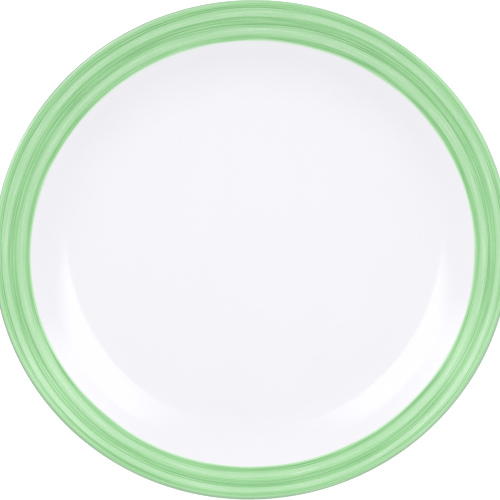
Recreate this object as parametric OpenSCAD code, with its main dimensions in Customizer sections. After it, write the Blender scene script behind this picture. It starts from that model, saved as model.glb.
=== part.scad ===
// Hand-banded china dinner plate, in millimetres, +Z up.
// The origin is the centre of the foot ring, on the surface that the plate stands on.
// The plate is fired clay under a coat of glaze, with three rings of enamel brushed round its rim.
// Every node is one layer of material, turned about Z, and it meets its neighbours face to face.

/* [Plate] */
// Diameter over the lip
plate_d = 267; // [255:1:280]
// Diameter of the flat floor of the well
well_d = 166; // [150:1:172]
// Radius of the bend that turns the floor up into the flare
bend_r = 54; // [44:1:56]
// Slope of the flare above level, in degrees
flare_angle = 27; // [20:1:30]

/* [Clay] */
// Thickness of the clay under the well
well_t = 4; // [3:0.1:5]
// Thickness of the clay round the bend
bend_t = 4.2; // [3.6:0.1:5]
// Radius of the rounded lip
lip_r = 1.15; // [0.9:0.05:1.4]

/* [Foot ring] */
// Diameter to the middle of the land
foot_d = 160; // [130:1:162]
// Width of the land that touches the table
land_w = 2.4; // [1.6:0.1:3]
// Radius of the land's two edges
land_edge_r = 0.5; // [0.3:0.05:0.6]
// Height of the underside round the foot
foot_h = 3; // [2.6:0.1:4]
// Lean of the foot's walls from upright, in degrees
foot_lean = 12; // [4:1:20]
// Radius where the foot's walls meet the underside
foot_fillet_r = 1.5; // [0.8:0.1:1.6]

/* [Glaze] */
// Thickness of the glaze
glaze_t = 0.3; // [0.2:0.05:0.35]
// Height of the bare clay that is wiped clean above the land
bare_h = 0.8; // [0.7:0.05:0.9]

/* [Enamel band] */
// Width of the green band, measured level from the lip
band_w = 18.5; // [15:0.5:19]
// Thickness of the pale wash under the strokes
wash_t = 0.12; // [0.1:0.01:0.15]
// Thickness of a broad stroke
stroke_t = 0.12; // [0.1:0.01:0.15]
// Thickness of a dark bristle line
line_t = 0.1; // [0.08:0.01:0.12]
// Width of a dark bristle line
line_w = 0.55; // [0.4:0.05:0.6]
// Inner and outer edge of the inner stroke, as shares of the band's width
inner_span = [0.05, 0.17]; // [0.03:0.01:0.2]
// Middle of the dark line on the inner stroke, as a share of the band's width
inner_line = 0.1; // [0.08:0.005:0.13]
// Inner and outer edge of the middle stroke, as shares of the band's width
middle_span = [0.37, 0.62]; // [0.35:0.01:0.7]
// Middles of the three dark lines on the middle stroke, as shares of the band's width
middle_lines = [0.44, 0.52, 0.595]; // [0.4:0.005:0.6]
// Inner edge of the lip stroke, as a share of the band's width
lip_stroke_start = 0.79; // [0.76:0.01:0.82]
// Middle of the inner dark line on the lip stroke, as a share of the band's width
lip_line = 0.85; // [0.84:0.005:0.855]

/* [Hidden] */

// Flat facets of a full turn, and degrees between the points of the section's arcs: the wide
// ones round the bend, and the tight ones at the lip and the foot
turn_fn = 180;
bend_step = 2;
edge_step = 10;

// Angles on the lip, from level outwards: where the wash stops under the lip, where the lip
// stroke stops, and the two edges of the dark line along the crest
wash_end = -20;
lip_stroke_end = 40;
crest_line = [60, 80];

// Heights above the clay: the top of the glaze, of the wash, of the strokes and of the lines
wash_base = glaze_t;
stroke_base = wash_base + wash_t;
line_base = stroke_base + stroke_t;
line_top = line_base + line_t;

// Centres of the section's arcs: the bend and the lip. The underside of the bend shares the
// bend's centre, and the flare is tangent to the bend and to the lip.
bend_c = [well_d / 2, foot_h + bend_t + bend_r];
under_r = bend_r + bend_t;
lip_x = plate_d / 2 - lip_r - stroke_base;
lip_c = [lip_x, bend_c.y - (bend_r + lip_r) / cos(flare_angle) + (lip_x - bend_c.x) * tan(flare_angle)];
recess_z = bend_c.y - bend_r - well_t;

// Slope of the underside, from the line that is tangent to the underside's arc and to the lip
to_lip = lip_c - bend_c;
under_angle = 90 + atan2(to_lip.y, to_lip.x) - acos((under_r - lip_r) / norm(to_lip));

// Along the foot's walls: unit vectors outwards and up, for side = 1 outside and -1 inside
function wall_out(side) = [side * cos(foot_lean), -sin(foot_lean)];
function wall_up(side) = [side * sin(foot_lean), cos(foot_lean)];
function land_edge_c(side) = [foot_d / 2 + side * land_w / 2, land_edge_r];

// Centres of the fillets that join the foot to the underside and to the recess
fillet_start = land_edge_c(1) + (land_edge_r + foot_fillet_r) * wall_out(1) - bend_c;
fillet_drop = fillet_start * wall_up(1);
fillet_reach = under_r + foot_fillet_r;
fillet_rise = -fillet_drop - sqrt(fillet_drop ^ 2 - fillet_start * fillet_start + fillet_reach ^ 2);
outer_fillet_c = bend_c + fillet_start + fillet_rise * wall_up(1);
fillet_angle = atan2(outer_fillet_c.y - bend_c.y, outer_fillet_c.x - bend_c.x);

recess_fillet_low = land_edge_c(-1) + (land_edge_r + foot_fillet_r) * wall_out(-1);
recess_rise = (recess_z - foot_fillet_r - recess_fillet_low.y) / cos(foot_lean);
inner_fillet_c = recess_fillet_low + recess_rise * wall_up(-1);

// Points of an arc. The angles between its ends are multiples of the step, so that layers
// with different ends share their points.
function reversed(list) = [for (i = [len(list) - 1:-1:0]) list[i]];
function between(low, high, step) = [for (k = [floor(low / step) + 1:ceil(high / step) - 1]) k * step];
function angles(low, high, step) = concat([low], between(low, high, step), [high]);
function arc(centre, r, from, to, step = edge_step) = [
    for (a = from < to ? angles(from, to, step) : reversed(angles(to, from, step)))
        centre + r * [cos(a), sin(a)]
];

// Parts of the section, each at a height h above the clay
function well_point(h) = [0, bend_c.y - bend_r + h];
function bend(h) = arc(bend_c, bend_r - h, flare_angle - 90, -90, bend_step);
function flare(h, run) = bend_c + (bend_r - h) * [sin(flare_angle), -cos(flare_angle)]
    + run * [cos(flare_angle), sin(flare_angle)];
function lip(h, from, to) = arc(lip_c, lip_r + h, from, to);
function underside(h) = arc(bend_c, under_r + h, fillet_angle, under_angle - 90, bend_step);
function outer_fillet(h) = arc(outer_fillet_c, foot_fillet_r - h, 180 - foot_lean, 180 + fillet_angle);
function recess_fillet(h) = arc(inner_fillet_c, foot_fillet_r - h, 90, foot_lean);
function land_edge(side) = arc(land_edge_c(side), land_edge_r, -90, side > 0 ? -foot_lean : foot_lean - 180);
function glaze_line(side, h) = land_edge_c(side) + (land_edge_r + h) * wall_out(side)
    + (bare_h - land_edge_r * (1 - sin(foot_lean))) / cos(foot_lean) * wall_up(side);

// Distance up the flare of a place in the band, given as a share of the band's width
function run_at(share) =
    (plate_d / 2 - band_w * (1 - share) - flare(wash_base, 0).x) / cos(flare_angle);

// The closed outline between two heights of one path
function layer(low, high) = concat(low, reversed(high));

module turned(outline) {
    rotate_extrude($fn = turn_fn) polygon(outline);
}

// A ring of enamel on the flare, from one run up the flare to another
module flare_ring(base, top, from, to) {
    turned([flare(base, from), flare(base, to), flare(top, to), flare(top, from)]);
}

// A dark line left by the brush on top of a stroke, about the middle of its width
module bristle_line(share) {
    color("mediumseagreen")
        flare_ring(line_base, line_top, run_at(share) - line_w / 2, run_at(share) + line_w / 2);
}

// The fired clay, from the recess out round the foot and the underside, over the lip and back
module china_body() {
    color("linen")
        turned(concat(
            [[0, recess_z]],
            recess_fillet(0),
            reversed(land_edge(-1)),
            land_edge(1),
            outer_fillet(0),
            underside(0),
            lip(0, under_angle - 90, 90 + flare_angle),
            bend(0),
            [well_point(0)]
        ));
}

// The glaze from the foot's outer wall, under the rim, over the lip and across the well
function coat(h) = concat(
    [glaze_line(1, h)],
    outer_fillet(h),
    underside(h),
    lip(h, under_angle - 90, 90 + flare_angle),
    bend(h),
    [well_point(h)]
);

module glaze_coat() {
    color("white") turned(layer(coat(0), coat(glaze_t)));
}

// The glaze inside the foot, which the bare land parts from the rest
function recess_coat(h) = concat([[0, recess_z - h]], recess_fillet(h), [glaze_line(-1, h)]);

module foot_recess_glaze() {
    color("white") turned(layer(recess_coat(0), recess_coat(glaze_t)));
}

// Enamel that starts on the flare and runs over the lip down to an angle on it
function over_lip(h, end, share) = concat(lip(h, end, 90 + flare_angle), [flare(h, run_at(share))]);

module rim_wash() {
    color("honeydew")
        turned(layer(over_lip(wash_base, wash_end, 0), over_lip(stroke_base, wash_end, 0)));
}

// A broad stroke of the brush on the flare, between two shares of the band's width
module broad_stroke(from, to) {
    color("lightgreen") flare_ring(stroke_base, line_base, run_at(from), run_at(to));
}

module inner_edge_stroke() {
    broad_stroke(inner_span[0], inner_span[1]);
}

module inner_edge_line() {
    bristle_line(inner_line);
}

module middle_stroke() {
    broad_stroke(middle_span[0], middle_span[1]);
}

module middle_line_inner() {
    bristle_line(middle_lines[0]);
}

module middle_line_centre() {
    bristle_line(middle_lines[1]);
}

module middle_line_outer() {
    bristle_line(middle_lines[2]);
}

module lip_stroke() {
    color("lightgreen")
        turned(layer(
            over_lip(stroke_base, lip_stroke_end, lip_stroke_start),
            over_lip(line_base, lip_stroke_end, lip_stroke_start)
        ));
}

module lip_line_inner() {
    bristle_line(lip_line);
}

module lip_line_outer() {
    color("mediumseagreen")
        turned(layer(
            lip(line_base, crest_line[0], crest_line[1]),
            lip(line_top, crest_line[0], crest_line[1])
        ));
}

china_body();
glaze_coat();
foot_recess_glaze();
rim_wash();
inner_edge_stroke();
inner_edge_line();
middle_stroke();
middle_line_inner();
middle_line_centre();
middle_line_outer();
lip_stroke();
lip_line_inner();
lip_line_outer();
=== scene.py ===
"""A hand-banded china dinner plate, dressed for its picture.

Every layer of the plate is turned about +Z: the fired clay, the glaze, and the enamel brushed
round the rim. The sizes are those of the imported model, in metres, and the origin is the centre
of the foot ring, on the floor.
"""

import math

import bmesh
import bpy
import numpy as np
from mathutils import Matrix, Vector


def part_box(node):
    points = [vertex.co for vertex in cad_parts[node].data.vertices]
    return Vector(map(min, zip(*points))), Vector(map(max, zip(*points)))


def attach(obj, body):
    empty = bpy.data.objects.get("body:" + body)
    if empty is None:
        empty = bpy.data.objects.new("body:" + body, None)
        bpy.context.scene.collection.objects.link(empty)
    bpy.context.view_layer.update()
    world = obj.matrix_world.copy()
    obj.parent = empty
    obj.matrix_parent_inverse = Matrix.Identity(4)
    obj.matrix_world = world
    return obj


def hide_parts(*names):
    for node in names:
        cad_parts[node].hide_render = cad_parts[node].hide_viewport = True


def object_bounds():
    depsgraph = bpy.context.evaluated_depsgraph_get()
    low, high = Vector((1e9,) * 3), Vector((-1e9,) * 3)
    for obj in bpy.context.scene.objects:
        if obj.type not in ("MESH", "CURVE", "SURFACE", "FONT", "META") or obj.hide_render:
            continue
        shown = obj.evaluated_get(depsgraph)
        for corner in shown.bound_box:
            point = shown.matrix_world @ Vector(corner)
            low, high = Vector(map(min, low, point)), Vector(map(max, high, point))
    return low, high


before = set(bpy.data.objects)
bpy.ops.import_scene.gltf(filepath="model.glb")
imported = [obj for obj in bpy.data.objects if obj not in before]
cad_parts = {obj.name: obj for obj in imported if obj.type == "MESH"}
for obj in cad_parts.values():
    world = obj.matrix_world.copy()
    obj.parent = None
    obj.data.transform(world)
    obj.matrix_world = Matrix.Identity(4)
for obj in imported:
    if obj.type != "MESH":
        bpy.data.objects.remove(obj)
cad_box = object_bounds()

MM = 0.001

# The section of the plate. Angles are in radians. The radius over the lip is the CAD model's own,
# on the side where its facets reach least far.
PLATE_R = -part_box("rim_wash")[0].x
WELL_R = 83 * MM
BEND_R = 54 * MM
FLARE = math.radians(27)
WELL_T = 4 * MM
BEND_T = 4.2 * MM
LIP_R = 1.15 * MM
FOOT_R = 80 * MM
LAND_W = 2.4 * MM
LAND_EDGE_R = 0.5 * MM
FOOT_H = 3 * MM
FOOT_LEAN = math.radians(12)
FOOT_FILLET_R = 1.5 * MM
GLAZE_T = 0.3 * MM
GLAZE_LINE = 0.42 * MM          # bare clay on the foot's walls, above the land's rounded edge
GLAZE_BEAD = 0.45 * MM          # how far up the wall the glaze's rounded edge reaches
GLAZE_SLOW = 0.08 * MM          # how far the glaze line wanders in slow waves and in quick ones
GLAZE_QUICK = 0.05 * MM
WASH_T = 0.12 * MM
WASH_END = math.radians(-20)    # where the wash stops under the lip

# The enamel. A share is a distance across the band, 0 at its inner edge and 1 at the lip.
BAND_W = 18.5 * MM
STROKE_RISE = 0.05 * MM
LINE_RISE = 0.035 * MM
FEATHER_W = 0.9 * MM
SINK = 0.006 * MM               # how far a stroke's edge dips into the layer under it
KEEL = 3 * SINK                 # how deep the bottom of a stroke lies in that layer
DOME_POWER = 6                  # the higher it is, the flatter a stroke's top
STROKES = {
    "inner_edge_stroke": (0.05, 0.17),
    "middle_stroke": (0.37, 0.62),
    "lip_stroke": (0.79, 0.98),
}
LINES = {
    "inner_edge_line": (0.087, 0.113, "inner_edge_stroke"),
    "middle_line_inner": (0.427, 0.453, "middle_stroke"),
    "middle_line_centre": (0.507, 0.533, "middle_stroke"),
    "middle_line_outer": (0.582, 0.608, "middle_stroke"),
    "lip_line_inner": (0.837, 0.863, "lip_stroke"),
    "lip_line_outer": (0.930, 0.958, "lip_stroke"),
}

# The unsteadiness of the hand, as waves round the plate: how many to a turn, how far each leans
# across the band, where it starts, and its size as a share of the band.
WOBBLES = (
    (3, 2.6, 0.4, 0.0060),
    (5, -5.0, 2.1, 0.0050),
    (9, 8.0, 4.0, 0.0030),
    (16, -12.0, 1.0, 0.0014),
)

# The band was also brushed a little off the plate's centre, a little oval and a little wide. This
# drift is all at the band's inner edge and dies away towards the lip: waves to a turn, where
# each starts, and its size as a share of the band.
DRIFTS = (
    (0, math.pi / 2, 0.042),
    (1, -0.24, 0.050),
    (2, -1.29, 0.022),
)

# The strokes sway as well, most of all in the middle of the band: the same three numbers. The
# gain brings share * (1 - share) up to 1 there.
SWAYS = (
    (1, -0.16, 0.037),
    (2, 2.42, 0.012),
)
SWAY_GAIN = 4

# How finely the pieces are cut: steps to a turn, the angle between the points of the bend's arcs
# and of the tight ones, the points across a coat or a stroke, and the parts of the width of a
# rounded edge at which it has points.
STEPS = 720
TURN = np.linspace(0, 2 * math.pi, STEPS, endpoint=False)
BEND_STEP = math.radians(0.75)
EDGE_STEP = math.radians(6)
FLARE_POINTS = 24
LIP_POINTS = 32
STROKE_POINTS = 17
LINE_POINTS = 9
BEAD_PARTS = (0, 0.05, 0.15, 0.35, 0.65, 1)
FEATHER_PARTS = (0, 0.1, 0.25, 0.45, 0.7, 1)

# Points nearer than this become one, and an edge that turns by more than this stays sharp.
WELD_DISTANCE = 1e-8
SHARP_ANGLE = math.radians(40)


# ---------------------------------------------------------------- the section

def polar(centre, radius, angle):
    return centre[0] + radius * np.cos(angle), centre[1] + radius * np.sin(angle)


def arc(centre, radius, start, end, step=EDGE_STEP):
    """Points of the section from one angle to another, no more than a step apart."""
    count = max(2, math.ceil(abs(end - start) / step) + 1)
    return [polar(centre, radius, angle) for angle in np.linspace(start, end, count)]


WASH_LIP_R = LIP_R + GLAZE_T + WASH_T
bend_centre = (WELL_R, FOOT_H + BEND_T + BEND_R)
lip_x = PLATE_R - WASH_LIP_R
lip_centre = (
    lip_x,
    bend_centre[1] - (BEND_R + LIP_R) / math.cos(FLARE) + (lip_x - WELL_R) * math.tan(FLARE),
)
under_r = BEND_R + BEND_T
to_lip = (lip_centre[0] - bend_centre[0], lip_centre[1] - bend_centre[1])
UNDER = (
    math.pi / 2
    + math.atan2(to_lip[1], to_lip[0])
    - math.acos((under_r - LIP_R) / math.hypot(*to_lip))
)
FLARE_FOOT = polar(bend_centre, BEND_R, FLARE - math.pi / 2)
flare_top = polar(lip_centre, LIP_R, math.pi / 2 + FLARE)
FLARE_RUN = math.hypot(flare_top[0] - FLARE_FOOT[0], flare_top[1] - FLARE_FOOT[1])
WASH_END_RUN = FLARE_RUN + (math.pi / 2 + FLARE - WASH_END) * WASH_LIP_R


def on_rim(run, rise):
    """A place on the face of the rim: run goes up the flare and on round the lip, and rise is
    the distance out from the clay."""
    up = np.minimum(run, FLARE_RUN)
    normal = math.pi / 2 + FLARE - (run - up) / WASH_LIP_R
    radius = FLARE_FOOT[0] + up * math.cos(FLARE)
    height = FLARE_FOOT[1] + up * math.sin(FLARE)
    round_lip = run > FLARE_RUN
    radius = np.where(round_lip, lip_centre[0] + LIP_R * np.cos(normal), radius)
    height = np.where(round_lip, lip_centre[1] + LIP_R * np.sin(normal), height)
    return radius + rise * np.cos(normal), height + rise * np.sin(normal)


def run_at(share):
    """The run at a share of the band, on the surface of the wash."""
    radius = PLATE_R - BAND_W * (1 - share)
    lean = (GLAZE_T + WASH_T) * math.sin(FLARE)
    on_flare = (radius + lean - FLARE_FOOT[0]) / math.cos(FLARE)
    angle = np.arccos(np.clip((radius - lip_centre[0]) / WASH_LIP_R, -1, 1))
    on_lip = FLARE_RUN + (math.pi / 2 + FLARE - angle) * WASH_LIP_R
    return np.where(on_flare < FLARE_RUN, on_flare, on_lip)


def swing(waves):
    """The sum of some waves, all round the plate."""
    return sum(size * np.sin(turns * TURN + phase) for turns, phase, size in waves)


def wobble(share):
    """How far towards the band's inner edge a brushed line strays, all round the plate."""
    waves = sum(size * np.sin(turns * TURN + lean * share + phase)
                for turns, lean, phase, size in WOBBLES)
    return (swing(DRIFTS) + SWAY_GAIN * share * swing(SWAYS)) * (1 - share) + waves


def painted_run(share):
    """The run all round the plate of a line that was brushed at a share of the band."""
    return run_at(share - wobble(share))


def dome(across):
    """The height across a stroke, 1 on its broad top and 0 at its two edges."""
    return 1 - np.abs(2 * across - 1) ** DOME_POWER


def feather(distance):
    """The rise of a coat's edge, from 0 to 1 over FEATHER_W."""
    return 1 - (1 - np.clip(distance / FEATHER_W, 0, 1)) ** 2


def wash_rise(run):
    """The height of the wash's face above the clay."""
    fall = np.minimum(run - painted_run(0), WASH_END_RUN - run)
    return GLAZE_T + WASH_T * feather(fall)


# ---------------------------------------------------------------- the pieces

def turned(name, outline, material, node):
    """Turns a closed outline about +Z. Each point is a radius and a height, either of them one
    number or one for each step of the turn. Points on the axis close up into a pole."""
    radii = np.array([np.broadcast_to(radius, STEPS) for radius, _ in outline])
    heights = np.array([np.broadcast_to(height, STEPS) for _, height in outline])
    places = np.stack([radii * np.cos(TURN), radii * np.sin(TURN), heights], axis=-1)
    rings = len(outline)
    open_ended = radii[0].max() == 0 and radii[-1].max() == 0
    faces = []
    for ring in range(rings - 1 if open_ended else rings):
        here, above = ring * STEPS, (ring + 1) % rings * STEPS
        for step in range(STEPS):
            after = (step + 1) % STEPS
            faces.append((here + step, here + after, above + after, above + step))
    mesh = bpy.data.meshes.new(name)
    mesh.from_pydata(places.reshape(-1, 3).tolist(), [], faces)
    built = bmesh.new()
    built.from_mesh(mesh)
    bmesh.ops.remove_doubles(built, verts=built.verts, dist=WELD_DISTANCE)
    bmesh.ops.recalc_face_normals(built, faces=built.faces)
    built.to_mesh(mesh)
    built.free()
    mesh.shade_smooth()
    mesh.set_sharp_from_angle(angle=SHARP_ANGLE)
    mesh.materials.append(material)
    piece = bpy.data.objects.new(name, mesh)
    bpy.context.scene.collection.objects.link(piece)
    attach(piece, "root")
    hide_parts(node)


def foot_wall(side):
    """The foot's outer wall (side 1) or inner wall (side -1): the centre of the land's rounded
    edge, and the directions out from the wall and up along it."""
    out = np.array((side * math.cos(FOOT_LEAN), -math.sin(FOOT_LEAN)))
    up = np.array((side * math.sin(FOOT_LEAN), math.cos(FOOT_LEAN)))
    corner = np.array((FOOT_R + side * LAND_W / 2, LAND_EDGE_R))
    return corner, out, up


def outer_fillet_centre():
    """The fillet touches the foot's outer wall and the underside of the bend."""
    corner, out, up = foot_wall(1)
    start = corner + (LAND_EDGE_R + FOOT_FILLET_R) * out - np.array(bend_centre)
    drop = start @ up
    reach = under_r + FOOT_FILLET_R
    rise = -drop - math.sqrt(drop ** 2 - start @ start + reach ** 2)
    return np.array(bend_centre) + start + rise * up


def inner_fillet_centre():
    """The fillet touches the foot's inner wall and the recess."""
    corner, out, up = foot_wall(-1)
    start = corner + (LAND_EDGE_R + FOOT_FILLET_R) * out
    rise = (recess_z - FOOT_FILLET_R - start[1]) / math.cos(FOOT_LEAN)
    return start + rise * up


recess_z = bend_centre[1] - BEND_R - WELL_T
outer_fillet = outer_fillet_centre()
inner_fillet = inner_fillet_centre()
fillet_angle = math.atan2(outer_fillet[1] - bend_centre[1], outer_fillet[0] - bend_centre[0])


def face_and_back(rise):
    """From the foot's outer fillet under the rim, over the lip and in to the centre."""
    return (
        arc(outer_fillet, FOOT_FILLET_R - rise, math.pi - FOOT_LEAN, math.pi + fillet_angle)
        + arc(bend_centre, under_r + rise, fillet_angle, UNDER - math.pi / 2, BEND_STEP)
        + arc(lip_centre, LIP_R + rise, UNDER - math.pi / 2, math.pi / 2 + FLARE)
        + arc(bend_centre, BEND_R - rise, FLARE - math.pi / 2, -math.pi / 2, BEND_STEP)
        + [(0, bend_centre[1] - BEND_R + rise)]
    )


def recess(rise):
    """From the centre of the recess out to the foot's inner wall."""
    return [(0, recess_z - rise)] + arc(
        inner_fillet, FOOT_FILLET_R - rise, math.pi / 2, FOOT_LEAN)


def glaze_end(side):
    """The glaze's rounded lower edge on the foot's wall, which wanders as it ran in the kiln."""
    corner, out, up = foot_wall(side)
    line = GLAZE_LINE + GLAZE_SLOW * np.sin(3 * TURN + side) + GLAZE_QUICK * np.sin(11 * TURN)
    points = []
    for climb in BEAD_PARTS:
        reach = LAND_EDGE_R + GLAZE_T * math.sqrt(1 - (1 - climb) ** 2)
        rise = line + climb * GLAZE_BEAD
        points.append(tuple(corner[i] + reach * out[i] + rise * up[i] for i in (0, 1)))
    return points


def make_china_body(material):
    corner_out, corner_in = foot_wall(1)[0], foot_wall(-1)[0]
    land = (
        arc(corner_in, LAND_EDGE_R, FOOT_LEAN - math.pi, -math.pi / 2)
        + arc(corner_out, LAND_EDGE_R, -math.pi / 2, -FOOT_LEAN)
    )
    turned("fired_china_body", recess(0) + land + face_and_back(0), material,
           "china_body")


def make_glaze_coat(material):
    outline = face_and_back(0)[::-1] + glaze_end(1) + face_and_back(GLAZE_T)
    turned("glaze_over_face_and_back", outline, material, "glaze_coat")


def make_recess_glaze(material):
    outline = recess(GLAZE_T) + glaze_end(-1)[::-1] + recess(0)[::-1]
    turned("glaze_inside_foot", outline, material, "foot_recess_glaze")


def make_rim_wash(material):
    start = painted_run(0)
    near_edge = [start + FEATHER_W * part for part in FEATHER_PARTS]
    up_flare = [start + FEATHER_W + (FLARE_RUN - start - FEATHER_W) * part
                for part in np.linspace(0, 1, FLARE_POINTS)[1:]]
    lip_runs = np.linspace(FLARE_RUN, WASH_END_RUN, LIP_POINTS)[1:]
    round_lip = [np.full(STEPS, run) for run in lip_runs]
    runs = near_edge + up_flare + round_lip
    outside = [on_rim(run, wash_rise(run)) for run in runs]
    inside = [on_rim(run, GLAZE_T - SINK) for run in runs]
    turned("pale_green_wash", outside + inside[::-1], material, "rim_wash")


def make_stroke(node, span, rise, under, points, material):
    """One ring of the brush, a low dome that sinks into the layer under it at both edges. That
    layer is the wash, or else the stroke whose span is under."""
    top, bottom = [], []
    for across in np.linspace(0, 1, points):
        share = span[0] + (span[1] - span[0]) * across
        run = painted_run(share)
        base = wash_rise(run)
        if under:
            base = base + STROKE_RISE * dome((share - under[0]) / (under[1] - under[0]))
        top.append(on_rim(run, base + (rise + SINK) * dome(across) - SINK))
        bottom.append(on_rim(run, base - KEEL))
    turned("brushed_" + node, top + bottom[::-1], material, node)


# ---------------------------------------------------------------- materials

class Graph:
    """Adds nodes to a material or a group. Wherever a value goes in, a socket may too."""

    def __init__(self, tree):
        self.tree = tree

    def feed(self, socket, value):
        if isinstance(value, bpy.types.NodeSocket):
            self.tree.links.new(value, socket)
        else:
            socket.default_value = value

    def node(self, kind, inputs=None, **settings):
        made = self.tree.nodes.new(kind)
        for key, value in settings.items():
            setattr(made, key, value)
        for key, value in (inputs or {}).items():
            self.feed(made.inputs[key], value)
        return made

    def math(self, operation, *values):
        made = self.tree.nodes.new("ShaderNodeMath")
        made.operation = operation
        for socket, value in zip(made.inputs, values):
            self.feed(socket, value)
        return made.outputs[0]

    def add(self, *values):
        total = values[0]
        for value in values[1:]:
            total = self.math("ADD", total, value)
        return total

    def vector(self, x, y, z):
        return self.node("ShaderNodeCombineXYZ", {0: x, 1: y, 2: z}).outputs[0]

    def object_place(self):
        return self.node("ShaderNodeTexCoord").outputs["Object"]

    def noise(self, vector, scale, detail=2.0):
        """Smooth noise, centred on 0 and mostly within half a unit of it."""
        made = self.node("ShaderNodeTexNoise", {
            "Vector": vector, "Scale": scale, "Detail": detail, "Roughness": 0.5})
        return self.math("SUBTRACT", made.outputs[0], 0.5)

    def fade(self, value, start, end):
        """0 at the start and 1 at the end, with a smooth change between them."""
        return self.node("ShaderNodeMapRange", {
            "Value": value, "From Min": start, "From Max": end,
        }, interpolation_type="SMOOTHSTEP").outputs[0]

    def step(self, value, edge, softness):
        """0 below the edge and 1 above it, over a softness on either side."""
        return self.fade(value, edge - softness, edge + softness)

    def span(self, value, start, end, softness):
        """1 between the start and the end, and 0 outside them."""
        inside = self.step(value, start, softness)
        return self.math("SUBTRACT", inside, self.step(value, end, softness))

    def ramp(self, value, stops):
        made = self.node("ShaderNodeValToRGB", {"Fac": value})
        elements = made.color_ramp.elements
        elements[0].position, elements[0].color = stops[0][0], (*stops[0][1], 1)
        elements[1].position, elements[1].color = stops[-1][0], (*stops[-1][1], 1)
        for position, colour in stops[1:-1]:
            elements.new(position).color = (*colour, 1)
        return made.outputs[0]

    def tinted(self, colour, factor, tint):
        mix = self.node("ShaderNodeMix", {"Factor": factor}, data_type="RGBA")
        self.feed(mix.inputs[6], colour)
        self.feed(mix.inputs[7], (*tint, 1))
        return mix.outputs[2]

    def bump(self, shader, height):
        """Roughens a shader's surface by a height in metres."""
        made = self.node("ShaderNodeBump", {"Height": height, "Distance": 1.0})
        self.feed(shader.inputs["Normal"], made.outputs[0])


def linear(red, green, blue):
    """A colour as it is seen on a screen, from 0 to 255, as the linear colour of a shader."""
    return tuple(((v / 255 + 0.055) / 1.055) ** 2.4 for v in (red, green, blue))


GLASS_IOR = 1.5


def new_material(name):
    material = bpy.data.materials.new(name)
    material.use_nodes = True
    graph = Graph(material.node_tree)
    shader = material.node_tree.nodes["Principled BSDF"]
    shader.inputs["IOR"].default_value = GLASS_IOR
    return material, graph, shader


# The colour of the band is read off a density: 0 is bare glaze and 1 the deepest green.
BAND_COLOURS = (
    (0.0, linear(240, 243, 241)),
    (0.07, linear(208, 232, 207)),
    (0.24, linear(174, 217, 171)),
    (0.5, linear(151, 207, 147)),
    (0.8, linear(133, 191, 129)),
    (1.0, linear(116, 174, 114)),
)
WASH_DENSITY = 0.255
LEAST_DENSITY = 0.09
BAND_START, START_SOFTNESS = 0.042, 0.055
OVER_LIP = 1.2                  # a share past the lip, for colour that runs on over it

# The marks of the brush, as noise drawn out round the plate: marks to a radian, marks across the
# band, an offset that makes each its own, and its detail.
BRUSH_MARKS = {
    "smears": (4, 7, 51.0, 2.0),
    "streaks": (3.2, 17, 3.0, 1.0),
    "bristles": (4, 38, 31.0, 1.0),
    "hairs": (7, 80, 11.0, 2.0),
}
MOTTLE_SCALE = 900

# How far the marks change the density of the wash, the strength of a stroke, the place of a
# stroke's edges, and the height of the surface in metres.
WASH_MARKS = (("smears", 0.14), ("streaks", 0.10), ("bristles", 0.30), ("hairs", 0.36),
              ("mottle", 0.16))
STROKE_MARKS = (("streaks", 1.3), ("bristles", 2.8), ("smears", 1.0))
EDGE_MARKS = (("streaks", 0.05), ("smears", 0.10))
HAIR_HEIGHT = 3.0e-6
STREAK_HEIGHT = 6.0e-6

# What each stroke adds to the density, and where it is laid on more heavily: degrees round from
# +X, spread in degrees, and gain.
STRENGTH = {"inner_edge_stroke": 0.28, "middle_stroke": 0.10, "lip_stroke": 0.08}
HEAVY = {
    "inner_edge_stroke": ((12, 25, 0.3), (72, 22, 0.3), (150, 12, 0.4), (290, 40, 0.4)),
    "middle_stroke": ((66, 14, 0.5), (115, 8, 1.1), (195, 9, 0.5), (266, 6, 0.9),
                      (290, 8, 0.9), (330, 14, 0.3)),
    "lip_stroke": ((70, 14, 0.6), (108, 14, 0.7), (160, 14, 0.3), (235, 12, 0.8)),
}
STROKE_SOFTNESS = 0.045

# What each dark line adds, how much that changes along the line, and the least that is left.
LINE_STRENGTH = {
    "inner_edge_line": 0.18,
    "middle_line_inner": 0.46,
    "middle_line_centre": 0.50,
    "middle_line_outer": 0.42,
    "lip_line_inner": 0.44,
    "lip_line_outer": 0.14,
}
LINE_CHANGE = 2.4
LINE_LEAST = 0.15
LINE_SOFTNESS = 0.012

# Fainter lines that the bristles left, with no height of their own: the share of the band that
# each keeps near, and its strength. They wander across the band, and come and go along it.
STRAY_LINES = ((0.16, 0.24), (0.22, 0.12), (0.35, 0.18), (0.40, 0.46), (0.48, 0.36),
               (0.56, 0.40), (0.63, 0.18), (0.76, 0.18), (0.805, 0.60), (0.895, 0.26))
STRAY_HALF_W = 0.012
STRAY_WANDER = 0.08
STRAY_CHANGE, STRAY_MEAN = 3.2, 0.8

# Noise along a line only, for its wandering and for its strength: marks to a radian. The last
# three set the noise of one line apart from that of the next.
WANDER_MARKS = 1.5
STRENGTH_MARKS = 2.2
LINE_APART = 90
STRAY_WANDER_APART = 70
STRAY_STRENGTH_APART = 130

# Along the lip: the colour is thinner on its crest, partly thin colour and partly a painted
# highlight, and denser outside that, a painted shade on the lip's outer side. Each has its span,
# what it adds to the density, and its patches as for HEAVY, or none for a change that goes all
# the way round.
THIN_CREST_HIGHLIGHT_AND_EDGE_SHADE = (
    ((0.930, 0.968), -0.30, ((144, 28, 1.25), (330, 20, 0.5))),
    ((0.960, OVER_LIP), 0.36, ()),
)
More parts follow.
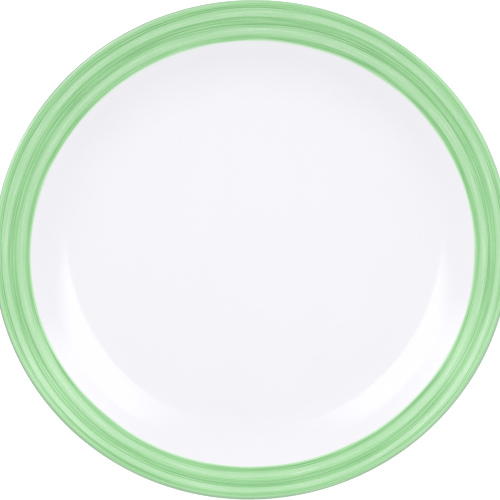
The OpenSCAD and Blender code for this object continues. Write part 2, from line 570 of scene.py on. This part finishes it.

# The green turns greyer over the crest, partly thinner colour and partly painted shade, and again
# on the edge outside it, a painted shade on the lip's outer side: where that starts, over what
# softness, how far, and to what colour. The painted shade on the edge is greyest about one patch.
CREST_START, CREST_SOFTNESS, THIN_CREST_AND_SHADE_AMOUNT = 0.935, 0.03, 0.34
THIN_CREST_AND_SHADE_GREY = linear(178, 192, 180)
EDGE_START, EDGE_SOFTNESS, EDGE_SHADE_AMOUNT = 0.971, 0.010, 0.28
EDGE_SHADE_GREY = linear(112, 130, 114)
EDGE_SHADE_PATCHES = ((143, 32, 0.62),)


class Band:
    """The band's coordinates and brush marks, inside a graph. Painted is the share of the band
    before the hand strayed, so that a brushed line keeps to one value of it."""

    def __init__(self, graph):
        self.graph = graph
        place = graph.object_place()
        split = graph.node("ShaderNodeSeparateXYZ", {0: place})
        x, y = split.outputs[0], split.outputs[1]
        radius = graph.math("SQRT", graph.math(
            "MULTIPLY_ADD", x, x, graph.math("MULTIPLY", y, y)))
        share = graph.math("DIVIDE", graph.math("SUBTRACT", radius, PLATE_R - BAND_W), BAND_W)
        self.angle = graph.math("ARCTAN2", y, x)
        self.east = graph.math("DIVIDE", x, radius)
        self.north = graph.math("DIVIDE", y, radius)
        self.painted = self.unstrayed(share)
        self.marks = {name: self.round_noise(*mark) for name, mark in BRUSH_MARKS.items()}
        self.marks["mottle"] = graph.noise(place, MOTTLE_SCALE)

    def swing(self, waves):
        total = 0.0
        for turns, phase, size in waves:
            wave = self.graph.math("SINE", self.graph.math(
                "MULTIPLY_ADD", self.angle, turns, phase))
            total = self.graph.math("MULTIPLY_ADD", wave, size, total)
        return total

    def unstrayed(self, share):
        """Takes wobble() back out of a share."""
        math_node = self.graph.math
        sway = math_node("MULTIPLY", math_node("MULTIPLY", share, SWAY_GAIN), self.swing(SWAYS))
        painted = math_node("MULTIPLY_ADD", math_node("SUBTRACT", 1.0, share),
                            math_node("ADD", self.swing(DRIFTS), sway), share)
        for turns, lean, phase, size in WOBBLES:
            wave = math_node("MULTIPLY_ADD", share, lean, math_node(
                "MULTIPLY_ADD", self.angle, turns, phase))
            painted = math_node("MULTIPLY_ADD", math_node("SINE", wave), size, painted)
        return painted

    def round_noise(self, length, across, offset, detail=2.0):
        """Noise drawn out round the plate: length marks to a radian, and across marks to the
        width of the band."""
        drawn = self.graph.vector(
            self.graph.math("MULTIPLY", self.east, length),
            self.graph.math("MULTIPLY", self.north, length),
            self.graph.math("MULTIPLY_ADD", self.painted, across, offset))
        return self.graph.noise(drawn, 1.0, detail)

    def scaled(self, gains):
        return [self.graph.math("MULTIPLY", self.marks[name], gain) for name, gain in gains]

    def heaviness(self, patches):
        """1, and more by its gain in the middle of each patch."""
        total = 1.0
        for degrees, spread, gain in patches:
            toward = self.graph.math("COSINE", self.graph.math(
                "SUBTRACT", self.angle, math.radians(degrees)))
            sharpness = 1 / math.radians(spread) ** 2
            fall = self.graph.math("EXPONENT", self.graph.math(
                "MULTIPLY_ADD", toward, sharpness, -sharpness))
            total = self.graph.math("MULTIPLY_ADD", fall, gain, total)
        return total


def lay_strokes(band, density):
    graph = band.graph
    ragged = band.painted
    for name, gain in EDGE_MARKS:
        ragged = graph.math("MULTIPLY_ADD", band.marks[name], gain, ragged)
    for name, (start, end) in STROKES.items():
        if name == "lip_stroke":
            end = OVER_LIP
        uneven = graph.add(*band.scaled(STROKE_MARKS), band.heaviness(HEAVY[name]))
        mask = graph.span(ragged, start, end, STROKE_SOFTNESS)
        laid = graph.math("MULTIPLY", mask, STRENGTH[name])
        density = graph.math("MULTIPLY_ADD", laid, uneven, density)
    return density


def lay_lines(band, density):
    graph = band.graph
    for name, (start, end, _) in LINES.items():
        noise = band.round_noise(STRENGTH_MARKS, 0.0, start * LINE_APART)
        uneven = graph.math("MULTIPLY_ADD", noise, LINE_CHANGE, 1.0)
        uneven = graph.math("MAXIMUM", uneven, LINE_LEAST)
        mask = graph.span(band.painted, start, end, LINE_SOFTNESS)
        laid = graph.math("MULTIPLY", mask, LINE_STRENGTH[name])
        density = graph.math("MULTIPLY_ADD", laid, uneven, density)
    return density


def lay_stray_lines(band, density):
    graph = band.graph
    for middle, gain in STRAY_LINES:
        noise = band.round_noise(WANDER_MARKS, 0.0, middle * STRAY_WANDER_APART)
        wandering = graph.math("MULTIPLY_ADD", noise, STRAY_WANDER, band.painted)
        noise = band.round_noise(STRENGTH_MARKS, 0.0, middle * STRAY_STRENGTH_APART)
        uneven = graph.math("MULTIPLY_ADD", noise, STRAY_CHANGE, STRAY_MEAN)
        uneven = graph.math("MAXIMUM", uneven, 0.0)
        mask = graph.span(wandering, middle - STRAY_HALF_W, middle + STRAY_HALF_W, LINE_SOFTNESS)
        laid = graph.math("MULTIPLY", mask, gain)
        density = graph.math("MULTIPLY_ADD", laid, uneven, density)
    return density


# A painted highlight on the lip's crest, partly thinner colour there, and a painted shade on the
# lip's outer side.
def paint_crest_highlight_and_edge_shade(band, density):
    graph = band.graph
    for (start, end), gain, patches in THIN_CREST_HIGHLIGHT_AND_EDGE_SHADE:
        laid = graph.math("MULTIPLY", graph.span(band.painted, start, end, LINE_SOFTNESS), gain)
        around = graph.math("SUBTRACT", band.heaviness(patches), 1.0) if patches else 1.0
        density = graph.math("MULTIPLY_ADD", laid, around, density)
    return density


# Painted shade over the lip: greyer over the crest, partly thinner colour too, and greyer again
# on its outer edge.
def paint_lip_shade(band, colour):
    graph = band.graph
    thin_crest_and_shade = graph.step(band.painted, CREST_START, CREST_SOFTNESS)
    colour = graph.tinted(colour, graph.math("MULTIPLY", thin_crest_and_shade, THIN_CREST_AND_SHADE_AMOUNT), THIN_CREST_AND_SHADE_GREY)
    # The painted shade on the lip's outer edge.
    edge = graph.step(band.painted, EDGE_START, EDGE_SOFTNESS)
    edge_shading = graph.math("SUBTRACT", band.heaviness(EDGE_SHADE_PATCHES), 1 - EDGE_SHADE_AMOUNT)
    return graph.tinted(colour, graph.math("MULTIPLY", edge, edge_shading), EDGE_SHADE_GREY)


def band_paint():
    """The look of the whole band, as a group that every enamel layer shares, so that a stroke
    fades into the wash. It gives a colour, and a height in metres for the brush marks."""
    tree = bpy.data.node_groups.new("band_paint", "ShaderNodeTree")
    tree.interface.new_socket("Color", in_out="OUTPUT", socket_type="NodeSocketColor")
    tree.interface.new_socket("Height", in_out="OUTPUT", socket_type="NodeSocketFloat")
    graph = Graph(tree)
    band = Band(graph)
    density = graph.add(WASH_DENSITY, *band.scaled(WASH_MARKS))
    density = lay_strokes(band, density)
    density = lay_lines(band, density)
    density = lay_stray_lines(band, density)
    density = graph.math("MAXIMUM", density, LEAST_DENSITY)
    # The painted highlight on the lip's crest and the painted shade outside it.
    density = paint_crest_highlight_and_edge_shade(band, density)
    begun = graph.step(band.painted, BAND_START, START_SOFTNESS)
    density = graph.math("MULTIPLY", density, begun)
    # The painted grey shade over the lip's crest and its outer edge.
    colour = paint_lip_shade(band, graph.ramp(density, BAND_COLOURS))
    streaked = graph.math("MULTIPLY", band.marks["streaks"], STREAK_HEIGHT)
    height = graph.math("MULTIPLY_ADD", band.marks["hairs"], HAIR_HEIGHT, streaked)
    out = graph.node("NodeGroupOutput")
    graph.feed(out.inputs["Color"], colour)
    graph.feed(out.inputs["Height"], height)
    return tree


ENAMEL_ROUGHNESS = {
    "pale_green_enamel": 0.10,
    "green_enamel": 0.12,
    "dark_green_enamel": 0.14,
}
ENAMEL_CLOUD_SCALE, ENAMEL_CLOUDING = 160, 0.05


def enamel(name, paint):
    """Enamel under gloss: the band's colour and brush marks, with a faintly uneven shine."""
    material, graph, shader = new_material(name)
    look = graph.node("ShaderNodeGroup")
    look.node_tree = paint
    clouds = graph.noise(graph.object_place(), ENAMEL_CLOUD_SCALE)
    graph.feed(shader.inputs["Base Color"], look.outputs["Color"])
    graph.feed(shader.inputs["Roughness"], graph.math(
        "MULTIPLY_ADD", clouds, ENAMEL_CLOUDING, ENAMEL_ROUGHNESS[name]))
    graph.bump(shader, look.outputs["Height"])
    return material


# The white glaze. A scale is a number of marks to a metre, and a height or a depth is in metres.
GLAZE_TINTS = (
    (0.25, (0.808, 0.796, 0.838)),
    (0.75, (0.818, 0.806, 0.848)),
)
TINT_SCALE = 28
GLAZE_ROUGHNESS, GLAZE_CLOUDING, GLAZE_CLOUD_SCALE = 0.075, 0.04, 45
RIPPLE_HEIGHT, RIPPLE_SCALE = 1.6e-5, 32
PEEL_HEIGHT, PEEL_SCALE = 4.0e-7, 420
PINHOLE_SCALE = 75              # one place to a cell where a pinhole could be
PINHOLE_RARITY = 0.985          # the share of those places that have none
PINHOLE_INNER, PINHOLE_OUTER = 0.015, 0.035
PINHOLE_DEPTH = 2.0e-5
PINHOLE_COLOUR = (0.62, 0.58, 0.55)


def white_glaze():
    """Gloss glaze over white clay, with the slight ripple and the few pinholes of the kiln."""
    material, graph, shader = new_material("white_glaze")
    place = graph.object_place()
    tint = graph.ramp(graph.math("ADD", graph.noise(place, TINT_SCALE, 3.0), 0.5), GLAZE_TINTS)
    cells = graph.node("ShaderNodeTexVoronoi", {"Vector": place, "Scale": PINHOLE_SCALE})
    chance = graph.node("ShaderNodeSeparateXYZ", {0: cells.outputs["Color"]}).outputs[0]
    rare = graph.math("GREATER_THAN", chance, PINHOLE_RARITY)
    near = graph.fade(cells.outputs["Distance"], PINHOLE_OUTER, PINHOLE_INNER)
    pinhole = graph.math("MULTIPLY", rare, near)
    graph.feed(shader.inputs["Base Color"], graph.tinted(tint, pinhole, PINHOLE_COLOUR))
    graph.feed(shader.inputs["Roughness"], graph.math(
        "MULTIPLY_ADD", graph.noise(place, GLAZE_CLOUD_SCALE), GLAZE_CLOUDING, GLAZE_ROUGHNESS))
    ripple = graph.math("MULTIPLY", graph.noise(place, RIPPLE_SCALE, 1.0), RIPPLE_HEIGHT)
    peel = graph.math("MULTIPLY_ADD", graph.noise(place, PEEL_SCALE, 1.0), PEEL_HEIGHT, ripple)
    graph.bump(shader, graph.math("MULTIPLY_ADD", pinhole, -PINHOLE_DEPTH, peel))
    return material


# The bare clay, in the same units.
CLAY_TONES = (
    (0.1, (0.50, 0.46, 0.40)),
    (0.45, (0.66, 0.62, 0.55)),
    (0.9, (0.76, 0.72, 0.66)),
)
GRIT_SCALE, GRIT_TONING, GRIT_HEIGHT = 2600, 0.5, 4.0e-5
WEAR_SCALE, WEAR_TONING, WEAR_ROUGHENING = 70, 0.8, 0.2
CLAY_ROUGHNESS = 0.7


def bare_china():
    """Fired clay with no glaze: warm, matt and finely gritty, and greyed where it has stood."""
    material, graph, shader = new_material("bare_china")
    place = graph.object_place()
    grit = graph.noise(place, GRIT_SCALE, 3.0)
    wear = graph.noise(place, WEAR_SCALE, 3.0)
    tone = graph.math("MULTIPLY_ADD", grit, GRIT_TONING, graph.math(
        "MULTIPLY_ADD", wear, WEAR_TONING, 0.5))
    graph.feed(shader.inputs["Base Color"], graph.ramp(tone, CLAY_TONES))
    graph.feed(shader.inputs["Roughness"], graph.math(
        "MULTIPLY_ADD", wear, WEAR_ROUGHENING, CLAY_ROUGHNESS))
    graph.bump(shader, graph.math("MULTIPLY", grit, GRIT_HEIGHT))
    return material


# ---------------------------------------------------------------- the studio

CAMERA_ELEVATION = math.radians(75)
CAMERA_DISTANCE = 2.0
CAMERA_ROLL = math.radians(8)   # the picture turned so that the plate's right side is higher
FRAME_WIDTH = 0.2595            # what the picture takes in, at the plate
AIM = (-0.0009, 0.0007)         # the middle of the picture, beside the plate's middle
SENSOR = 36.0

AIR_LIGHT = 0.943               # the even light from all round
SEEN_AIR = 0.1                  # and what is added to it where the camera sees it
FLOOR_GLOW = 0.3                # the plate stands on a light table, so it throws no shadow
FLOOR_R = 8.0
FLOOR_CORNERS = 90
FLOOR_ROUGHNESS = 0.6
FLOOR_SCALE = 3
FLOOR_TINTS = ((0.0, (0.93, 0.93, 0.93)), (1.0, (0.95, 0.95, 0.95)))

# Square lights that face the plate: azimuth and elevation in degrees, distance, width, height,
# and radiance. Each is brightest across its middle and dies away to its sides and its foot,
# from and to the given parts of its width and height.
SOFTBOXES = {
    "softbox_right": (49, 46.5, 1.6, 0.94, 1.12, 2.05),
    "softbox_left": (121, 43, 1.6, 1.06, 0.95, 2.02),
}
SIDE_DARK, SIDE_BRIGHT = 0.5, 0.15
FOOT_DARK, FOOT_BRIGHT = 0.0, 0.25


def make_camera():
    middle = Vector((*AIM, (cad_box[0][2] + cad_box[1][2]) / 2))
    back = Vector((0, -math.cos(CAMERA_ELEVATION), math.sin(CAMERA_ELEVATION)))
    data = bpy.data.cameras.new("camera")
    data.sensor_width = SENSOR
    data.lens = SENSOR * CAMERA_DISTANCE / FRAME_WIDTH
    camera = bpy.data.objects.new("camera", data)
    turn = back.to_track_quat("Z", "Y").to_matrix().to_4x4()
    camera.matrix_world = (
        Matrix.Translation(middle + back * CAMERA_DISTANCE)
        @ turn
        @ Matrix.Rotation(-CAMERA_ROLL, 4, "Z")
    )
    bpy.context.scene.collection.objects.link(camera)
    bpy.context.scene.camera = camera


def make_softbox(name, azimuth, elevation, distance, width, height, radiance):
    """A square light of SOFTBOXES."""
    data = bpy.data.lights.new(name, "AREA")
    data.shape = "RECTANGLE"
    data.size, data.size_y = width, height
    data.energy = radiance * math.pi * width * height
    data.use_nodes = True
    graph = Graph(data.node_tree)
    across = graph.node("ShaderNodeSeparateXYZ", {
        0: graph.node("ShaderNodeNewGeometry").outputs["Parametric"]})
    side = graph.math("ABSOLUTE", graph.math("SUBTRACT", across.outputs[0], 0.5))
    emission = data.node_tree.nodes["Emission"]
    graph.feed(emission.inputs["Strength"], graph.math(
        "MULTIPLY",
        graph.fade(side, SIDE_DARK, SIDE_BRIGHT),
        graph.fade(across.outputs[1], FOOT_DARK, FOOT_BRIGHT)))
    turn, lift = math.radians(azimuth), math.radians(elevation)
    level = math.cos(lift)
    away = Vector((level * math.cos(turn), level * math.sin(turn), math.sin(lift)))
    light = bpy.data.objects.new(name, data)
    light.matrix_world = (
        Matrix.Translation(away * distance) @ away.to_track_quat("Z", "Y").to_matrix().to_4x4())
    bpy.context.scene.collection.objects.link(light)


def make_floor():
    mesh = bpy.data.meshes.new("studio_floor")
    rim = [(FLOOR_R * math.cos(angle), FLOOR_R * math.sin(angle), 0)
           for angle in TURN[::STEPS // FLOOR_CORNERS]]
    mesh.from_pydata(rim, [], [tuple(range(len(rim)))])
    material, graph, shader = new_material("studio_floor")
    clouds = graph.math("ADD", graph.noise(graph.object_place(), FLOOR_SCALE), 0.5)
    graph.feed(shader.inputs["Base Color"], graph.ramp(clouds, FLOOR_TINTS))
    shader.inputs["Roughness"].default_value = FLOOR_ROUGHNESS
    shader.inputs["Emission Color"].default_value = (1, 1, 1, 1)
    shader.inputs["Emission Strength"].default_value = FLOOR_GLOW
    mesh.materials.append(material)
    floor = bpy.data.objects.new("studio_floor", mesh)
    bpy.context.scene.collection.objects.link(floor)


def make_studio():
    scene = bpy.context.scene
    scene.view_settings.view_transform = "Standard"
    world = bpy.data.worlds.new("studio_air")
    world.use_nodes = True
    air = world.node_tree.nodes["Background"]
    air.inputs["Color"].default_value = (1, 1, 1, 1)
    graph = Graph(world.node_tree)
    seen = graph.node("ShaderNodeLightPath").outputs["Is Camera Ray"]
    graph.feed(air.inputs["Strength"], graph.math("MULTIPLY_ADD", seen, SEEN_AIR, AIR_LIGHT))
    scene.world = world
    for name, settings in SOFTBOXES.items():
        make_softbox(name, *settings)
    make_floor()


make_camera()
make_studio()

paint = band_paint()
glaze = white_glaze()
make_china_body(bare_china())
make_glaze_coat(glaze)
make_recess_glaze(glaze)
make_rim_wash(enamel("pale_green_enamel", paint))
stroke_enamel = enamel("green_enamel", paint)
for node, span in STROKES.items():
    make_stroke(node, span, STROKE_RISE, None, STROKE_POINTS, stroke_enamel)
line_enamel = enamel("dark_green_enamel", paint)
for node, (start, end, under) in LINES.items():
    make_stroke(node, (start, end), LINE_RISE, STROKES[under], LINE_POINTS, line_enamel)
